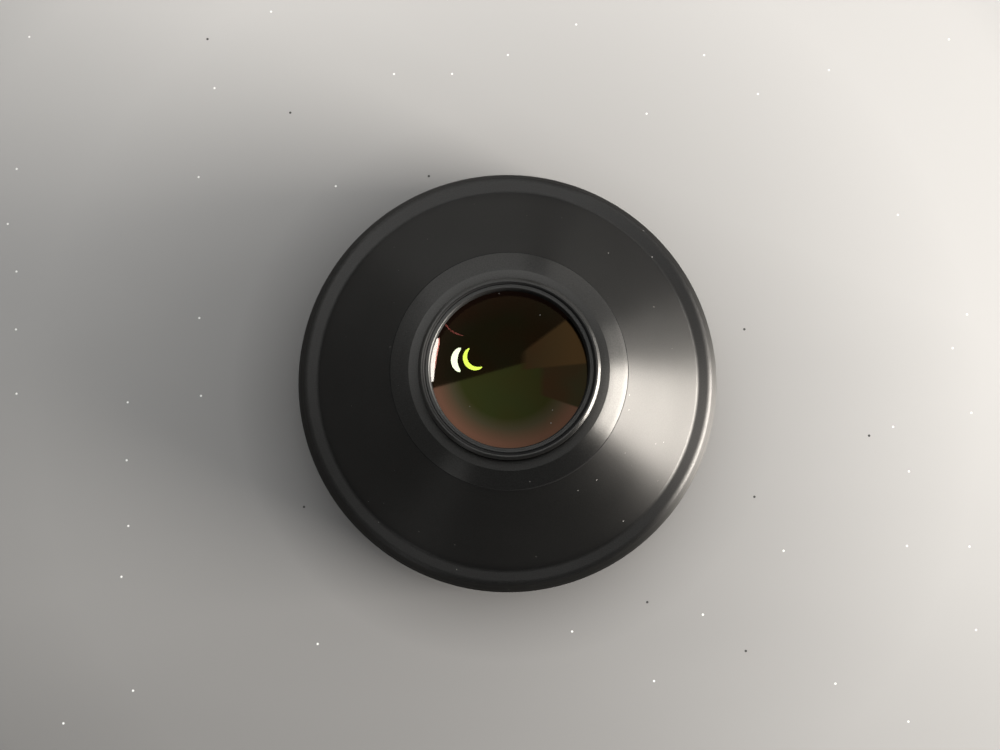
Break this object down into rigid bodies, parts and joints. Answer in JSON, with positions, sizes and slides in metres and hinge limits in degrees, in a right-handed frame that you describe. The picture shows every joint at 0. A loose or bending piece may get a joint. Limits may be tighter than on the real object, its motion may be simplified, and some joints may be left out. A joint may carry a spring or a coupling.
{
  "type": "wide-angle conversion lens",
  "caption": "Wide-angle conversion lens: black coned barrel with a round front rim, inner glass groups held by threaded rings, and a narrow threaded rear boss with a shoulder.",
  "frame": {"origin": "centre of the front rim's face, on which the lens stands", "axes": "+Z along the optical axis, from the front rim to the rear boss; +X and +Y are square to it, and one of the rim's grub screws points along +Y"},
  "size_m": [0.081, 0.081, 0.042],
  "materials": {
    "satin_black": "turned aluminium, satin black anodised",
    "blasted_black": "aluminium, fine blasted and black anodised",
    "ring_black": "turned aluminium, matt black anodised",
    "stop_black": "thin sheet, matt black",
    "seal_rubber": "black nitrile rubber",
    "shim_black": "black polyester film",
    "shim_brass": "plain brass",
    "screw_steel": "black oxide steel",
    "front_glass": "polished optical glass, green and magenta multicoated",
    "inner_glass": "polished optical glass, multicoated",
    "rear_glass": "polished optical glass, amber and green multicoated"
  },
  "bodies": {
    "root": {"main_barrel": "satin_black", "front_filter_ring": "satin_black", "filter_ring_screws": "screw_steel", "front_retaining_ring": "ring_black", "front_lens_seal": "seal_rubber", "front_lens": "front_glass", "front_lens_shim": "shim_black", "front_stop_plate": "stop_black", "second_lens_ring": "ring_black", "second_lens": "inner_glass", "second_lens_shim": "shim_black", "middle_stop_plate": "stop_black", "middle_stop_ring": "ring_black", "mount_ring": "blasted_black", "mount_ring_seal": "seal_rubber", "mount_lock_ring": "ring_black", "cell_shim": "shim_brass", "rear_lens_cell": "ring_black", "rear_flint_lens": "inner_glass", "rear_crown_lens": "rear_glass", "rear_retaining_ring": "ring_black"}
  },
  "joints": []
}
